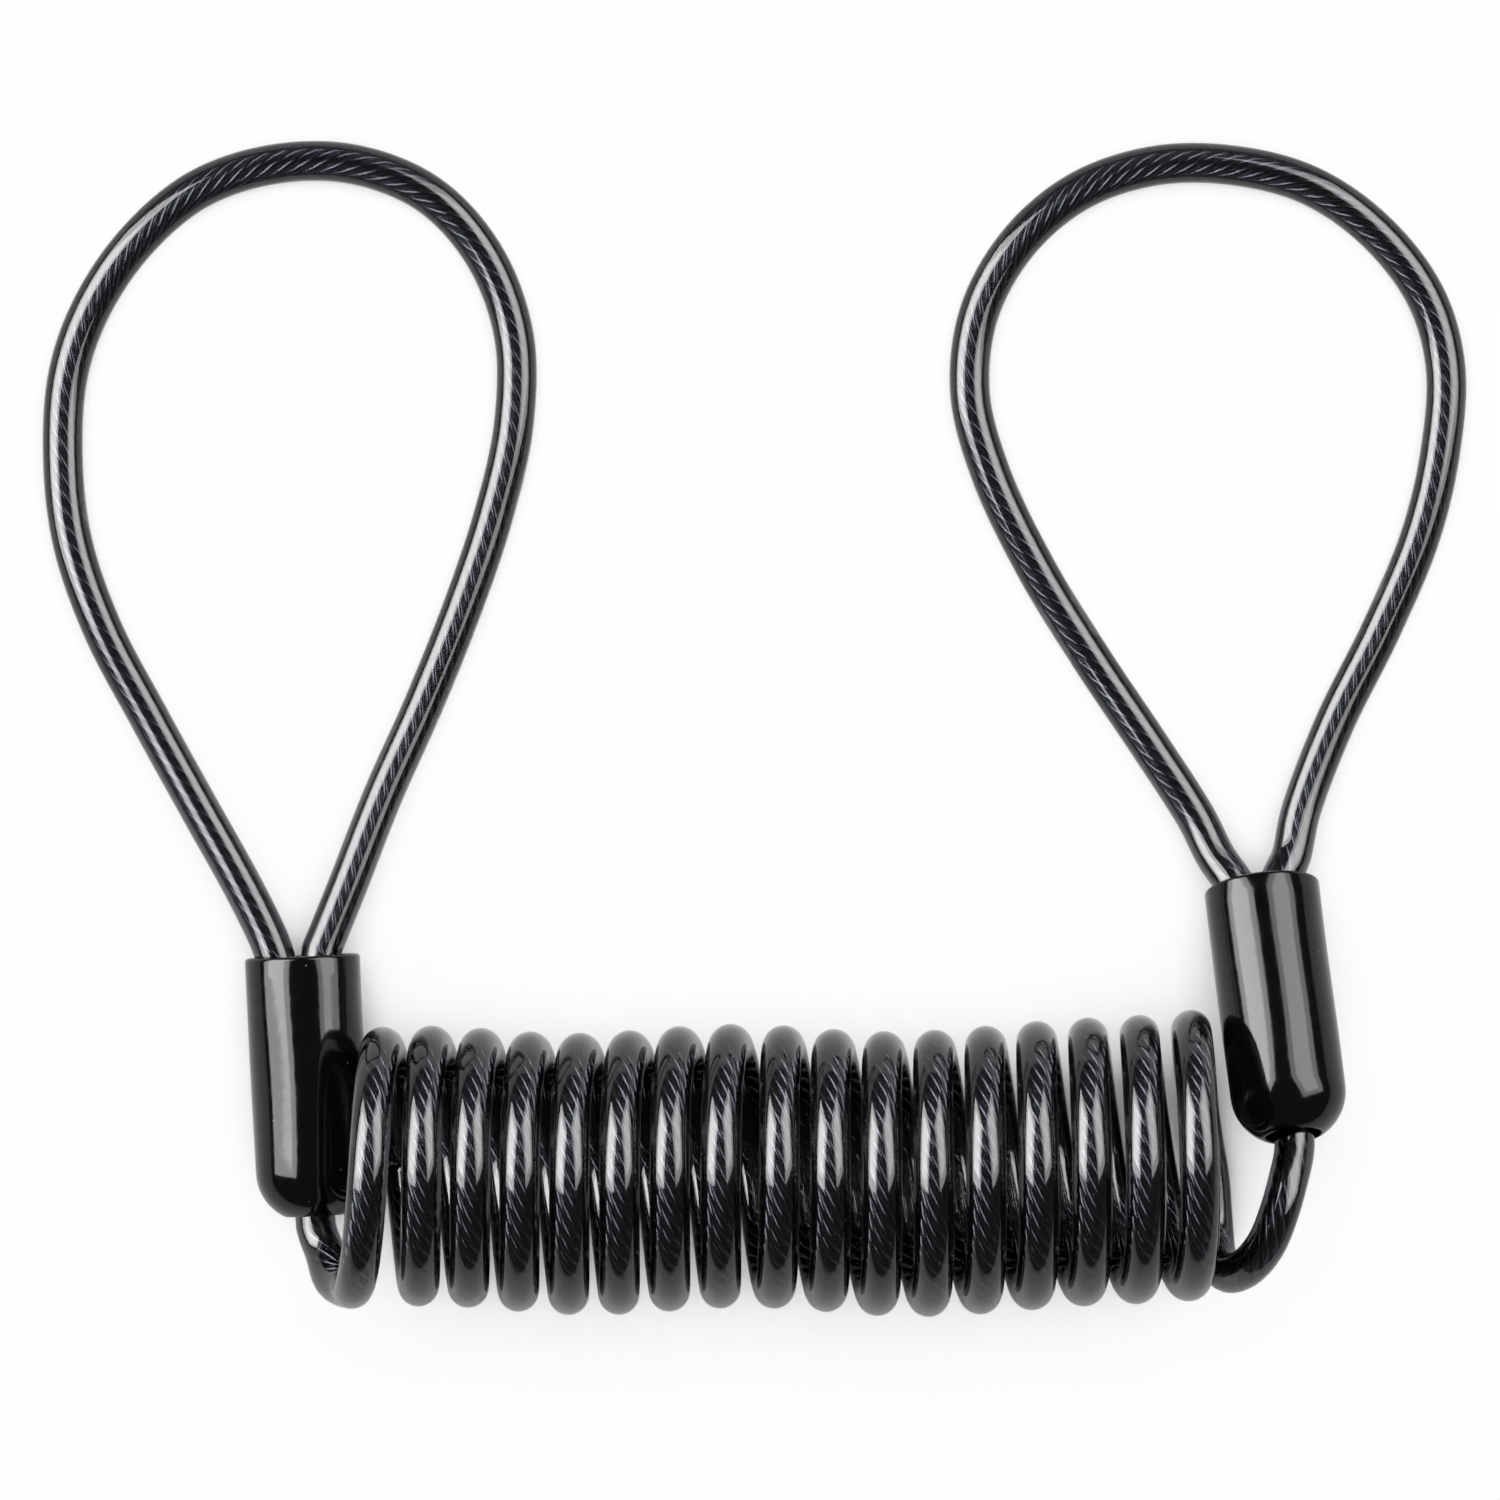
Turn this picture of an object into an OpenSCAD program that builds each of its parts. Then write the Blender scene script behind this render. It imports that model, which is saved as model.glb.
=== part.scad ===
// Coiled security cable: one jacketed wire rope, wound into a close coil,
// with an eye at each end that a crimped ferrule closes under a vinyl sleeve.
// It lies on a flat surface, coil axis along X, eyes side by side towards +Y.

/* [Cable] */
// Diameter over the jacket
cable_d = 4; // [3.2:0.1:5]
// Diameter of the wire rope inside the jacket
rope_d = 2.1; // [1.5:0.1:2.6]
// Clearance between the rope and the jacket around it
bond_gap = 0.05; // [0.03:0.01:0.1]

/* [Coil] */
// Number of turns that show on the upper side
turns = 17; // [8:1:17]
// Diameter of the first turn, measured on the middle of the cable
turn_d = 23.8; // [18:0.1:28]
// How much wider each turn is than the one before
turn_growth = 0.05; // [0:0.01:0.1]
// Gap between two neighbouring turns
turn_gap = 1; // [0.9:0.1:3]
// Sideways lean of the first turn, in mm for each mm of distance from the axis
lean_first = -0.045; // [-0.1:0.005:0]
// Sideways lean of the last turn
lean_last = -0.095; // [-0.1:0.005:0]
// How far the turns wander to either side of the axis
wander = 0.4; // [0:0.1:0.6]
// How far the last turn has moved towards the eyes
end_lift = 1.7; // [0:0.1:3]
// How far the first half turn opens towards its lead
end_flare = 1.8; // [1:0.1:3]

/* [Ferrules] */
// Length of a ferrule
ferrule_len = 12; // [8:0.5:14.5]
// Least wall of a ferrule, outside its bores
ferrule_wall = 0.6; // [0.5:0.1:1]
// Radial clearance of the cable in a ferrule bore
ferrule_fit = 0.15; // [0.12:0.01:0.3]
// Depth of each crimp across a ferrule's flat sides
crimp_depth = 0.25; // [0.1:0.05:0.4]
// Number of crimps along a ferrule
crimps = 3; // [2:1:4]

/* [Sleeves] */
// Length of a sleeve from its mouth to the lip around its end hole
sleeve_len = 26; // [25:0.5:32]
// Wall of a sleeve
sleeve_wall = 0.8; // [0.6:0.1:1.2]
// Clearance between a sleeve and the ferrule in it
sleeve_fit = 0.1; // [0.05:0.05:0.3]
// Radius of the round at a sleeve's closed end
sleeve_round = 5; // [4:0.1:5.3]
// Radial gap around the cable in a sleeve's end hole
sleeve_hole_gap = 0.8; // [0.2:0.1:1]
// Depth of the ferrule inside a sleeve's mouth
ferrule_depth = 5; // [4:0.5:6]

/* [Hidden] */
$fn = 48;
jacket_color = [0.09, 0.09, 0.10];
rope_color = [0.62, 0.63, 0.65];
ferrule_color = [0.78, 0.79, 0.80];
sleeve_color = [0.04, 0.04, 0.05];

cable_r = cable_d / 2;
rope_r = rope_d / 2;
bore_r = rope_r + bond_gap;
pitch = cable_d + turn_gap;

function unit(v) = v / norm(v);
// Corner radius of a polygon that has the area of a circle of radius r.
function polygon_r(r, sides) = r * sqrt(2 * PI / (sides * sin(360 / sides)));

// The coil is a six-sided tube with 14 rings a turn, the free stretches have eight sides.
coil_sides = 6;
free_sides = 8;
turn_rings = 14;
coil_flat_r = polygon_r(cable_r, coil_sides) * cos(180 / coil_sides);
free_flat_r = polygon_r(cable_r, free_sides) * cos(180 / free_sides);
// Each turn is pressed flat this deep where it rests, and an eye only as deep as it takes to touch.
coil_flat_depth = cable_d / 10;
eye_flat_depth = 0.02;

// Place of the first turn's crest, and of the coil's axis before it wanders.
coil_x = -37.4;
coil_y = -43.6;
// Turns from one sideways swing of the axis to the next, and where the end begins to lift.
wander_turns = 6.3;
lift_from = 12;
lift_turns = 4;
// The flare is full where the tube starts and has gone this many turns past the first crest.
flare_to = 0.25;
// The tube starts at the coil's -Y side and ends under the last turn, just past its lowest point.
first_ring = -4;
last_ring = turn_rings * turns - 7;
// Edges of the coil that the two ends are set out from.
coil_end_x = coil_x + pitch * (turns - 1);
coil_side_y = coil_y - turn_d / 2;

// Half the distance between the two legs of an eye inside its ferrule.
leg_gap = 0.2;
leg_x = cable_r + leg_gap / 2;
ferrule_bore_r = cable_r + ferrule_fit;
ferrule_half_t = ferrule_bore_r + ferrule_wall;
// A crimping die leaves round-bottomed grooves of this radius.
crimp_r = 1.2;
sleeve_in_r = leg_x + ferrule_half_t + sleeve_fit;
sleeve_r = sleeve_in_r + sleeve_wall;
// The closed end is rounded about a circle around the axis, down to the lip of its hole.
sleeve_hole_r = cable_r + sleeve_hole_gap;
round_x = sleeve_r - sleeve_round;
round_y = sqrt(pow(sleeve_round, 2) - pow(sleeve_hole_r - round_x, 2)) - sleeve_len;
// The cable runs straight for this far before and after a ferrule, and out of a sleeve's end.
straight_run = 1;
// Cutting shapes run this far past what they cut.
overrun = 1;

// How far a sleeve's middle is from the coil's end turn in plan, over touching it, and how far
// its closed end is from the coil's -Y side.
left_beside = -0.25;
left_inset = 7;
right_beside = 0.3;
right_inset = 15;
// Lean of a sleeve in plan and its rise from mouth to closed end, in degrees. The right
// sleeve's closed end is held up by its lead, and its mouth is just off the surface.
left_lean = 2.9;
left_rise = 0;
right_lean = 6.7;
right_rise = 17;
right_mouth_lift = 0.3;
// Centre of each sleeve's mouth.
left_mouth = [
    coil_x - cable_r - sleeve_r - left_beside,
    coil_side_y + left_inset + sleeve_len * cos(left_rise),
    sleeve_r
];
right_mouth = [
    coil_end_x + cable_r + sleeve_r + right_beside,
    coil_side_y + right_inset + sleeve_len * cos(right_rise),
    sleeve_r * cos(right_rise) + right_mouth_lift
];

// Eyes: points of each loop from the mouth's +X side round to its -X side. X and Y are taken
// from the middle of the mouth, and the third number is the height over lying on the surface.
left_loop = [
    [2.5, 2, 3.5], [4.5, 7, 3], [8, 16, 2], [12, 25, 1], [16, 35, 0.5], [19, 44, 0],
    [21, 53, 0], [21, 62, 0], [18, 70, 0], [12.5, 76, 0], [5, 79, 0], [-3, 79, 0],
    [-10.5, 76.5, 0], [-16.5, 71.5, 0], [-21, 65, 0], [-23.5, 58, 0], [-24, 49, 0],
    [-23, 41, 0], [-20, 32.5, 0.5], [-15.5, 24, 1], [-10.5, 15, 2], [-6, 7, 3], [-3.5, 2, 3.5]
];
right_loop = [
    [3, 3, 2.5], [4, 7.5, 1.5], [7.5, 16.5, 0.5], [12, 25.5, 0], [16, 35, 0], [18, 43.5, 0],
    [18.5, 52, 0], [16.5, 59, 0], [11.5, 65.5, 0], [5, 70, 0], [-2.5, 72, 0], [-10.5, 72, 0],
    [-18, 69.5, 0], [-24, 64.5, 0], [-28, 57.5, 0], [-29, 49.5, 0], [-27, 41.5, 0],
    [-22.5, 32, 0], [-17, 23, 0], [-11, 14, 1], [-6.5, 7, 1.5], [-4.5, 3, 2.5]
];
// How far each leg of an eye has spread at the mouth, over its place in the ferrule.
left_spread = [-0.3, -0.6];
right_spread = [-0.3, -0.3];
// Leads: points near the sleeve, taken from where the cable leaves its closed end,
// and points near the coil, taken from the coil's first point and from its last.
left_lead_out = [[0.9, -2.5, 0.8]];
left_lead_in = [[-1.8, 0.8, -4.3]];
right_lead_in = [
    [0.4, -5.3, 0.9], [0.65, -7.9, 3.1], [1.45, -9.3, 6.1], [2.65, -9.2, 9.3], [4.1, -8, 12.1]
];
right_lead_out = [[-2.7, -9.3, 1.7], [-1.6, -6.4, 2.4], [-0.7, -3.3, 1.7]];

// A point given across, along and over a sleeve, from its mouth, turned to where the sleeve lies.
function on_sleeve(mouth, lean, rise, p) =
    let (
        along = p[1] * cos(rise) + p[2] * sin(rise),
        over = p[2] * cos(rise) - p[1] * sin(rise)
    )
    mouth + [p[0] * cos(lean) - along * sin(lean), p[0] * sin(lean) + along * cos(lean), over];

// The cable of one eye: its short end in the ferrule's +X bore, the loop, the -X bore, and then
// a gentle bend to the middle of the sleeve and out through the sleeve's closed end.
function eye_route(mouth, lean, rise, spread, loop) =
    let (
        before = ferrule_depth - straight_run,
        after = ferrule_depth + ferrule_len + straight_run,
        centred = sleeve_len - 2 * straight_run,
        inside = [
            [leg_x, -after, 0], [leg_x, -before, 0], [leg_x + spread[0], 0, 0],
            [-leg_x + spread[1], 0, 0], [-leg_x, -before, 0], [-leg_x, -after, 0],
            [-leg_x / 2, -(after + centred) / 2, 0], [0, -centred, 0],
            [0, -sleeve_len - straight_run, 0]
        ],
        held = [for (p = inside) on_sleeve(mouth, lean, rise, p)],
        lying = [mouth[0], mouth[1], free_flat_r - eye_flat_depth]
    )
    concat(
        [for (i = [0:2]) held[i]],
        [for (p = loop) lying + p],
        [for (i = [3:len(held) - 1]) held[i]]
    );

// Middle of the cable in the coil. n counts turns from the first crest on the upper side;
// it goes over the top, down the side of the eyes, and back underneath: a left-hand helix.
// The rings stand a little outside the round turn, so that the flats between them touch it.
function coil_point(n) =
    let (
        round_r = (turn_d + turn_growth * n) / 2,
        r = (round_r + cable_r) / cos(180 / turn_rings) - coil_flat_r,
        lean = lean_first + (lean_last - lean_first) * n / turns,
        axis_y = coil_y + wander * cos(360 * (n - 1) / wander_turns)
            + end_lift * pow(max(0, (n - lift_from) / lift_turns), 2),
        axis_z = round_r + cable_r - coil_flat_depth,
        flare = end_flare * pow(max(0, (flare_to - n) / (2 * flare_to)), 2)
    )
    [
        coil_x + pitch * n + lean * r * sin(360 * n) - flare,
        axis_y + r * sin(360 * n),
        axis_z + r * cos(360 * n)
    ];

left_eye_cable = eye_route(left_mouth, left_lean, left_rise, left_spread, left_loop);
right_eye_cable = eye_route(right_mouth, right_lean, right_rise, right_spread, right_loop);
coil_cable = [for (i = [first_ring:last_ring]) coil_point((i + 0.5) / turn_rings)];
left_exit = left_eye_cable[len(left_eye_cable) - 1];
right_exit = right_eye_cable[len(right_eye_cable) - 1];
coil_first = coil_cable[0];
coil_last = coil_cable[len(coil_cable) - 1];

// The whole cable, from the left eye's short end to the right eye's.
cable = concat(
    left_eye_cable,
    [for (p = left_lead_out) left_exit + p],
    [for (p = left_lead_in) coil_first + p],
    coil_cable,
    [for (p = right_lead_in) coil_last + p],
    [for (p = right_lead_out) right_exit + p],
    [for (i = [len(right_eye_cable) - 1:-1:0]) right_eye_cable[i]]
);
// Where its stretches meet, as places in that list.
left_eye_end = len(left_eye_cable) - 1;
coil_start = len(left_eye_cable) + len(left_lead_out) + len(left_lead_in);
coil_end = coil_start + len(coil_cable) - 1;
right_eye_start = coil_end + len(right_lead_in) + len(right_lead_out) + 1;
cable_end = len(cable) - 1;

// Least gap between turns: from the middle of each ring to every ring half a turn or more on.
least_gap = min([
    for (i = [left_eye_end:right_eye_start - turn_rings / 2])
        for (j = [i + turn_rings / 2:right_eye_start])
            norm(cable[i] - cable[j])
]) - 2 * polygon_r(cable_r, coil_sides);
echo(least_gap = least_gap);

function tangent(i) = unit(cable[min(i + 1, cable_end)] - cable[max(i - 1, 0)]);

// One ring of a tube around a point of the cable. Its first corner is on the side that looks
// in the given direction, or half a step past that, so that a flat looks there.
function ring(i, r, sides, toward, half_step) =
    let (
        t = tangent(i),
        a = unit(toward - (toward * t) * t),
        b = cross(t, a)
    )
    [
        for (k = [0:sides - 1])
            let (angle = (k + half_step) * 360 / sides)
            cable[i] + polygon_r(r, sides) * (cos(angle) * a + sin(angle) * b)
    ];

function rings(i0, i1, r, sides, toward, half_step) =
    [for (i = [i0:i1]) each ring(i, r, sides, toward, half_step)];

function turned(faces) = [for (f = faces) [f[0], f[2], f[1]]];

// Triangles around a tube, between rings whose corners are numbered from first.
function wall_faces(first, steps, sides) = [
    for (i = [0:steps - 1])
        for (k = [0:sides - 1])
            let (p = first + i * sides + k, q = first + i * sides + (k + 1) % sides)
            each [[p, p + sides, q + sides], [p, q + sides, q]]
];

// Triangles that close a bored tube at its start, between its outer and its inner ring.
function rim_faces(outer, inner, sides) = [
    for (k = [0:sides - 1])
        let (n = (k + 1) % sides)
        each [[outer + k, outer + n, inner + n], [outer + k, inner + n, inner + k]]
];

// A fan of triangles over the start of a solid tube.
function cap_faces(first, sides) = [for (k = [1:sides - 2]) [first, first + k, first + k + 1]];

// Jacket over a stretch of the cable, with its bore, flat where it presses on the surface.
module jacket(i0, i1, sides, toward, half_step) {
    steps = i1 - i0;
    outer = rings(i0, i1, cable_r, sides, toward, half_step);
    inner = rings(i0, i1, bore_r, sides, toward, half_step);
    bore = len(outer);
    polyhedron(
        points = concat([for (p = outer) [p[0], p[1], max(0, p[2])]], inner),
        faces = concat(
            wall_faces(0, steps, sides),
            turned(wall_faces(bore, steps, sides)),
            rim_faces(0, bore, sides),
            turned(rim_faces(steps * sides, bore + steps * sides, sides))
        )
    );
}

// Wire rope in a stretch of the cable.
module rope(i0, i1, sides, toward, half_step) {
    steps = i1 - i0;
    polyhedron(
        points = rings(i0, i1, rope_r, sides, toward, half_step),
        faces = concat(
            wall_faces(0, steps, sides),
            cap_faces(0, sides),
            turned(cap_faces(steps * sides, sides))
        )
    );
}

// The coil and the leads have corners to their sides, and the eyes have flats above and below.
module coil_stretch(i0, i1, jacketed) {
    along_x = [1, 0, 0];
    if (jacketed) jacket(i0, i1, coil_sides, along_x, 0);
    else rope(i0, i1, coil_sides, along_x, 0);
}

module eye_stretch(i0, i1, jacketed) {
    up = [0, 0, 1];
    if (jacketed) jacket(i0, i1, free_sides, up, 0.5);
    else rope(i0, i1, free_sides, up, 0.5);
}

// Sets a piece that is drawn along -Y from a sleeve's mouth to where the sleeve lies.
module at_mouth(mouth, lean, rise) {
    translate(mouth) rotate([0, 0, lean]) rotate([-rise, 0, 0]) children();
}

// Oval ferrule: two bores side by side, open to each other, and crimps across its flat sides.
module ferrule() {
    difference() {
        translate([0, -ferrule_depth, 0]) rotate([90, 0, 0]) linear_extrude(ferrule_len) {
            square([2 * leg_x, 2 * ferrule_half_t], center = true);
            for (side = [-1, 1]) translate([side * leg_x, 0]) circle(ferrule_half_t);
        }
        for (side = [-1, 1])
            translate([side * leg_x, overrun - ferrule_depth, 0])
                rotate([90, 0, 0]) cylinder(r = ferrule_bore_r, h = ferrule_len + 2 * overrun);
        for (i = [1:crimps], face = [-1, 1])
            translate([
                0,
                -ferrule_depth - i * ferrule_len / (crimps + 1),
                face * (ferrule_half_t + crimp_r - crimp_depth)
            ])
                rotate([0, 90, 0]) cylinder(r = crimp_r, h = 2 * sleeve_r, center = true);
    }
}

// Half the outline of a cap of radius r, from a height given by top down to its rounded end,
// which is wall away from the outer one.
module half_outline(r, wall, top) {
    round_r = sleeve_round - wall;
    translate([0, round_y]) square([r, top - round_y]);
    translate([0, round_y - round_r]) square([round_x, round_r]);
    intersection() {
        translate([round_x, round_y]) circle(round_r);
        translate([round_x, round_y - round_r]) square(round_r);
    }
}

// Dip-moulded cap: a round tube with a rolled rim at its mouth and a closed, rounded end
// that has a hole for the lead.
module sleeve() {
    rim_r = sleeve_wall / 2;
    rotate([-90, 0, 0]) rotate_extrude() {
        difference() {
            half_outline(sleeve_r, 0, -rim_r);
            half_outline(sleeve_in_r, sleeve_wall, overrun);
            translate([0, -sleeve_len - sleeve_round]) square([sleeve_hole_r, 2 * sleeve_round]);
        }
        translate([sleeve_in_r + rim_r, -rim_r]) circle(rim_r);
    }
}

module coil_jacket() color(jacket_color) coil_stretch(coil_start, coil_end, true);

module coil_rope() color(rope_color) coil_stretch(coil_start, coil_end, false);

module left_lead_jacket() color(jacket_color) coil_stretch(left_eye_end, coil_start, true);

module left_lead_rope() color(rope_color) coil_stretch(left_eye_end, coil_start, false);

module right_lead_jacket() color(jacket_color) coil_stretch(coil_end, right_eye_start, true);

module right_lead_rope() color(rope_color) coil_stretch(coil_end, right_eye_start, false);

module left_eye_jacket() color(jacket_color) eye_stretch(0, left_eye_end, true);

module left_eye_rope() color(rope_color) eye_stretch(0, left_eye_end, false);

module right_eye_jacket() color(jacket_color) eye_stretch(right_eye_start, cable_end, true);

module right_eye_rope() color(rope_color) eye_stretch(right_eye_start, cable_end, false);

module left_ferrule() color(ferrule_color) at_mouth(left_mouth, left_lean, left_rise) ferrule();

module right_ferrule() color(ferrule_color) at_mouth(right_mouth, right_lean, right_rise) ferrule();

module left_sleeve() color(sleeve_color)
    at_mouth(left_mouth, left_lean, left_rise) sleeve();

module right_sleeve() color(sleeve_color)
    at_mouth(right_mouth, right_lean, right_rise) sleeve();

coil_jacket();
coil_rope();
left_lead_jacket();
left_lead_rope();
right_lead_jacket();
right_lead_rope();
left_eye_jacket();
left_eye_rope();
right_eye_jacket();
right_eye_rope();
left_ferrule();
right_ferrule();
left_sleeve();
right_sleeve();
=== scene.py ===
import math

import bmesh
import bpy
import numpy as np
from mathutils import Matrix, Vector


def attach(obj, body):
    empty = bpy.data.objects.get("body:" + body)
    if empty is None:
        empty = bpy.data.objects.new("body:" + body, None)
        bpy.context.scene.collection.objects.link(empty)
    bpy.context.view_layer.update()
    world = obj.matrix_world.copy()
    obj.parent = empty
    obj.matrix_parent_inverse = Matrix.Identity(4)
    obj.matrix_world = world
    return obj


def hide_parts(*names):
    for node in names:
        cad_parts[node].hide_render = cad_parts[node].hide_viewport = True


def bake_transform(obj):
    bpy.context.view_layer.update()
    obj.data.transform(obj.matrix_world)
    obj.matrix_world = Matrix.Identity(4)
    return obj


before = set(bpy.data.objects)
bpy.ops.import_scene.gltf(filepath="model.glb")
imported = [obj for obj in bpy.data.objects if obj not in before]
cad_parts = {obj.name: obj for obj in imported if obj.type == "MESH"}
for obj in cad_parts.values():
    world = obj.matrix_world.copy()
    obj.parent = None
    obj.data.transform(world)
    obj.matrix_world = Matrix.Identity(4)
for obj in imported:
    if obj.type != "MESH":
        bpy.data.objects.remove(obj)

bl_info = {
    "name": "Coiled cable lock",
    "version": (1, 0, 0),
    "blender": (4, 5, 0),
    "location": "View3D > Sidebar > Cable lock",
    "description": "Builds a coiled security cable with an eye at each end",
    "category": "Object",
}

MM = 0.001

# The cable's route is the CAD model's, in millimetres.
CABLE_R = 2.0
# Coil: its turns, the first turn's diameter between the cable's middles and what each turn adds
# to it, the distance between turns, and the middle of the coil at its first crest.
TURNS = 17
TURN_D = 23.8
TURN_GROWTH = 0.05
PITCH = 5.0
COIL_X, COIL_Y = -37.4, -43.6
# The turns lean along X and wander a little along Y. The last ones also drift along +Y, and the
# first one opens towards its lead.
LEAN_FIRST, LEAN_LAST = -0.045, -0.095
WANDER, WANDER_TURNS = 0.4, 6.3
DRIFT, DRIFT_FROM, DRIFT_TURNS = 1.7, 12.0, 4.0
END_FLARE, FLARE_TO = 1.8, 0.25
# The coil has parted a little after its eighth turn: the crests before that tip back along X,
# the ones after it tip forward, and both do so less towards the first turn and the parting.
PARTED_AFTER = 7
TIP_BACK, TIP_FORWARD = 0.8, 1.3
# The coil leaves its leads at these places, counted in turns from the first crest.
COIL_FIRST, COIL_LAST = -0.25, 16.536
# Inside an eye's ferrule: the legs' distance from the middle, and places along the sleeve.
LEG_X = 2.1
LEG_BEFORE, LEG_AFTER, CENTRED = 4.0, 18.0, 24.0
# How far a lead's line runs straight on out of its sleeve.
STRAIGHT_OUT = 1

# Each sleeve: its size, the middle of its mouth, its lean in plan and its rise to its closed end,
# and how far the eye's two legs close in at its mouth.
SLEEVE_R, SLEEVE_IN_R, SLEEVE_LEN = 5.75, 4.95, 26.0
SLEEVE_ROUND, SLEEVE_HOLE_R = 5.0, 2.8
SLEEVES = {
    "left": {"mouth": (-44.9, -22.5, 5.75), "lean": 2.9, "rise": 0.0, "spread": (-0.3, -0.6)},
    "right": {
        "mouth": (50.65, -15.636, 5.799), "lean": 6.7, "rise": 17.0, "spread": (-0.3, -0.3),
    },
}
# Each eye's loop from its mouth's +X side round to its -X side. X and Y are taken from the
# middle of the mouth, and the third number is the height over lying on the surface.
LOOPS = {
    "left": [
        (2.5, 2, 3.5), (4.5, 7, 3), (8, 16, 2), (12, 25, 1), (16, 35, 0.5), (19, 44, 0),
        (21, 53, 0), (21, 62, 0), (18, 70, 0), (12.5, 76, 0), (5, 79, 0), (-3, 79, 0),
        (-10.5, 76.5, 0), (-16.5, 71.5, 0), (-21, 65, 0), (-23.5, 58, 0), (-24, 49, 0),
        (-23, 41, 0), (-20, 32.5, 0.5), (-15.5, 24, 1), (-10.5, 15, 2), (-6, 7, 3), (-3.5, 2, 3.5),
    ],
    "right": [
        (3, 3, 2.5), (4, 7.5, 1.5), (7.5, 16.5, 0.5), (12, 25.5, 0), (16, 35, 0), (18, 43.5, 0),
        (18.5, 52, 0), (16.5, 59, 0), (11.5, 65.5, 0), (5, 70, 0), (-2.5, 72, 0), (-10.5, 72, 0),
        (-18, 69.5, 0), (-24, 64.5, 0), (-28, 57.5, 0), (-29, 49.5, 0), (-27, 41.5, 0),
        (-22.5, 32, 0), (-17, 23, 0), (-11, 14, 1), (-6.5, 7, 1.5), (-4.5, 3, 2.5),
    ],
}
# Leads: points taken from where the cable leaves its sleeve, and from the coil's two ends.
LEFT_LEAD_OUT = [(0.9, -2.5, 0.8)]
LEFT_LEAD_IN = [(-1.8, 0.8, -4.3)]
RIGHT_LEAD_IN = [
    (0.4, -5.3, 0.3), (0.65, -7.9, 2.5), (1.45, -9.3, 5.5), (2.65, -9.2, 8.7), (4.1, -8, 11.5),
]
RIGHT_LEAD_OUT = [(-2.7, -9.3, 1.7), (-1.6, -6.4, 2.4), (-0.7, -3.3, 1.7)]

# The pieces are cut under the coil, on the surface, and inside the sleeves, where no cut shows.
# The pulled coil's pitch opens over the first and the last part of a turn.
CUT_FIRST, CUT_LAST = 0.5, 16.5
CUT_INSIDE = 5.0
END_INSET = 0.5
OPENING_TURNS = 0.5

# How finely the meshes follow the cable and the sleeves.
COIL_STEPS = 24
LINE_SAMPLES = 16
RING_STEP = 1.0
JACKET_SIDES = 24
STRAND_SIDES = 8
RIM_STEPS, BODY_STEPS, ROUND_STEPS, INNER_ROUND_STEPS = 8, 12, 10, 8
SPIN_STEPS = 64
LIP_STEPS = 3
WELD = 1e-4

# Six strands lie round a seventh, so the rope is three strands across.
OUTER_STRANDS = 6
STRANDS_ACROSS = 3

# A sleeve's lip is eased by this much, in millimetres, where it turns by more than this angle.
LIP_EDGE, LIP_ANGLE = 0.25, math.radians(35)
# A sleeve is soft and follows what is in it a little: an oval and a three-sided swell, in
# millimetres, which change along it by so many radians a millimetre.
OVAL, OVAL_TURN, OVAL_RATE = 0.05, 0.4, 0.31
THREE_SIDED, THREE_SIDED_RATE = 0.035, 0.23

# Keeps a division from failing where the cable's line is perfectly straight.
TINY = 1e-30

# Where a point lies on the cable laid out straight is kept under this name.
STRAIGHT = "straight"

# The camera looks straight down, and 150 mm of the surface fill its width.
CAMERA_X, CAMERA_Y, CAMERA_MM = -0.0003, -0.002, 1500
SENSOR_MM, SEEN_MM = 36.0, 150
CLIP_NEAR, CLIP_FAR = 0.01, 20.0
FLOOR_HALF, FLOOR_CELLS = 3.0, 4

# Lamps: radiance, angle from overhead, angle in plan from +X, distance, width across and size
# from low to high, in degrees and metres. The two at the sides, each with a brighter middle, are
# seen in the gloss, and the one overhead lights the matt surfaces and gives the shadow.
LAMPS = (
    ("softbox_left", 8.0, 54, 163, 0.7, (0.72, 0.68), "gloss"),
    ("softbox_left_tube", 7.0, 54, 163, 0.69, (0.5, 0.4), "gloss"),
    ("softbox_right", 4.5, 48, 28, 0.72, (0.85, 0.62), "gloss"),
    ("softbox_right_tube", 4.0, 48, 28, 0.71, (0.6, 0.36), "gloss"),
    ("overhead", 4.5, 10, 90, 0.9, (0.8, 0.8), "matt"),
)
ROOM_DIM, ROOM_SEEN = 0.1, 1.0


def linear(hex_colour):
    """An sRGB hex colour as linear red, green and blue."""
    parts = [int(hex_colour[i : i + 2], 16) / 255 for i in (1, 3, 5)]
    return tuple(c / 12.92 if c <= 0.04045 else ((c + 0.055) / 1.055) ** 2.4 for c in parts)


CARD_COLOUR = linear("#f0f0f0")
DUST_COLOUR = linear("#8a8782")
WHITE = (1, 1, 1, 1)


def crest_tip(n):
    """How far the crest n turns after the first tips along X from an even helix."""
    parted = min(1.0, max(0.0, n - PARTED_AFTER))
    back = 1 - (1 - min(n, PARTED_AFTER) / PARTED_AFTER) ** 2
    forward = max(0.0, (n - PARTED_AFTER - 1) / (TURNS - PARTED_AFTER - 2)) ** 2
    return TIP_FORWARD * forward - TIP_BACK * back * (1 - parted)


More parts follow.
